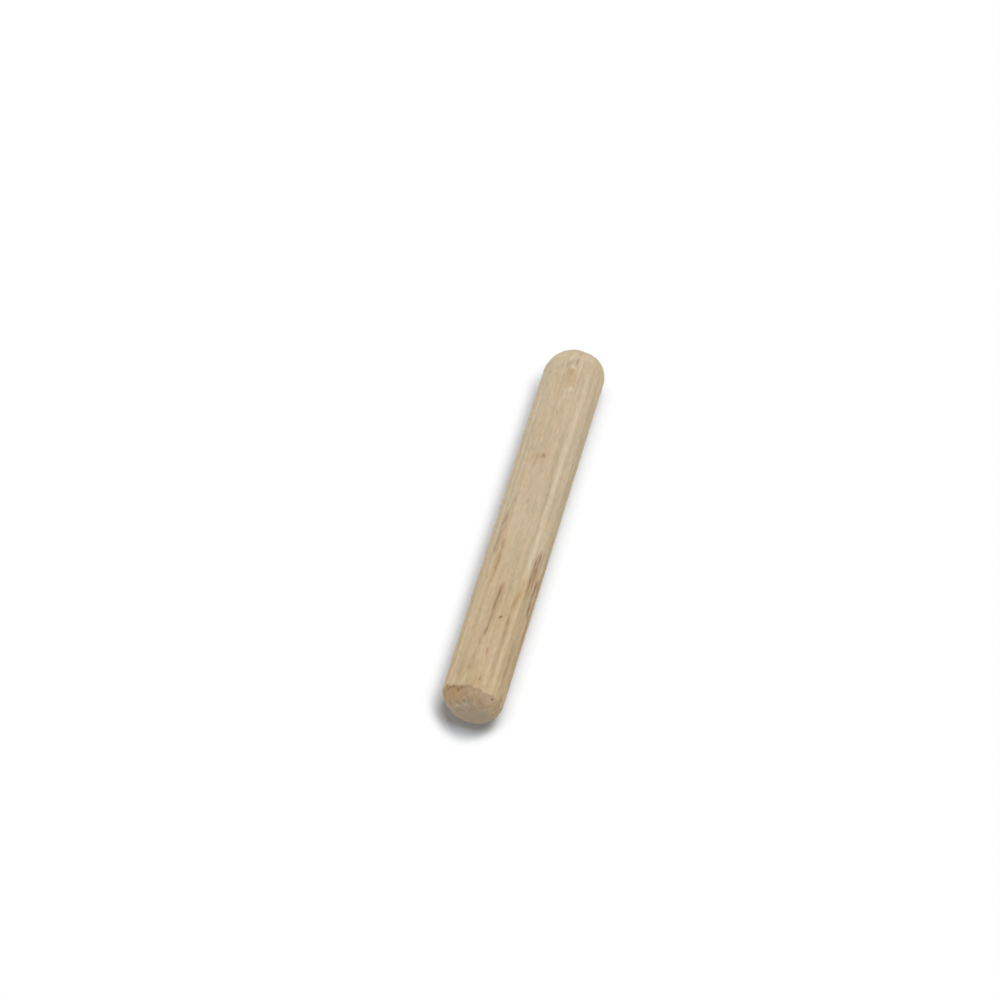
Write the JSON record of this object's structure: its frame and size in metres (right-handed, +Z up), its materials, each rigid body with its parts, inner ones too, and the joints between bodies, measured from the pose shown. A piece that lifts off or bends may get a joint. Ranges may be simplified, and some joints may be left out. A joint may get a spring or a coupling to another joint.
{
  "type": "wooden dowel",
  "caption": "Round hardwood pin with shallow lengthwise glue flutes and rounded ends, one with a broad sawn flat and one nearly domed, lying on its side.",
  "frame": {"origin": "on the surface that the pin lies on, under the middle of its length", "axes": "+X along the pin's length, +Z up through the crest opposite the groove that faces the surface"},
  "size_m": [0.054, 0.008, 0.008],
  "materials": {
    "wood": "bare, dry, pale hardwood"
  },
  "bodies": {
    "root": {"dowel": "wood"}
  },
  "joints": []
}
